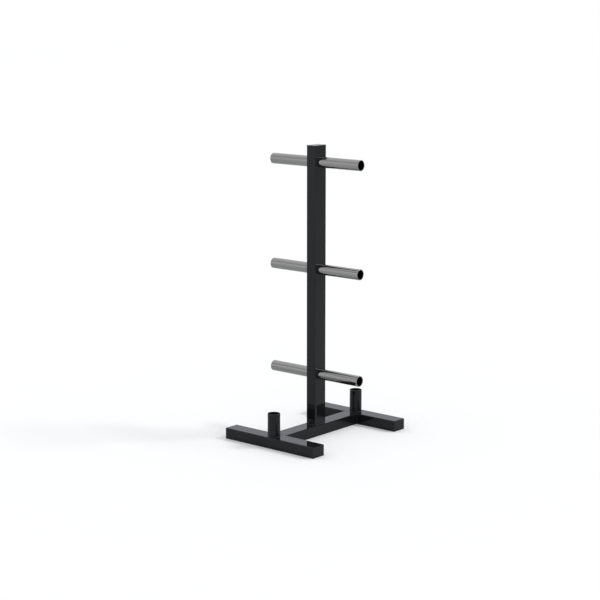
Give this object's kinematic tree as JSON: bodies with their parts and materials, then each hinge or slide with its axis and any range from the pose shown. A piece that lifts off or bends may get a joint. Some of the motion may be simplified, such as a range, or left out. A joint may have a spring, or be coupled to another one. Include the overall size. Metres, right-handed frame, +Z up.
{
  "type": "plate tree",
  "caption": "Free-standing rack with a mast on an H-shaped base, metal side pegs for weight plates and upright tubes that hold barbells on end.",
  "frame": {"origin": "on the floor under the middle of the mast, the middle of the base", "axes": "+Z up the mast. X runs along the pegs and both feet, +X to the right as the picture shows it. Y runs along the crossbar, +Y away from the viewer."},
  "size_m": [0.512, 0.655, 1.317],
  "materials": {
    "frame_paint": "smooth gloss black paint over welded steel tube",
    "peg_steel": "plated tube, finely ground along its length, with its root weld ground flush"
  },
  "bodies": {
    "root": {"near_foot_tube": "frame_paint", "near_foot_left_end_plate": "frame_paint", "near_foot_right_end_plate": "frame_paint", "near_bar_holder": "frame_paint", "near_bar_holder_weld": "frame_paint", "near_crossbar_weld": "frame_paint", "far_foot_tube": "frame_paint", "far_foot_left_end_plate": "frame_paint", "far_foot_right_end_plate": "frame_paint", "far_bar_holder": "frame_paint", "far_bar_holder_weld": "frame_paint", "far_crossbar_weld": "frame_paint", "crossbar_tube": "frame_paint", "mast_tube": "frame_paint", "mast_top_plate": "frame_paint", "mast_base_weld": "frame_paint", "lower_left_peg": "peg_steel", "lower_left_peg_weld": "peg_steel", "lower_right_peg": "peg_steel", "lower_right_peg_weld": "peg_steel", "middle_left_peg": "peg_steel", "middle_left_peg_weld": "peg_steel", "middle_right_peg": "peg_steel", "middle_right_peg_weld": "peg_steel", "upper_left_peg": "peg_steel", "upper_left_peg_weld": "peg_steel", "upper_right_peg": "peg_steel", "upper_right_peg_weld": "peg_steel"}
  },
  "joints": []
}
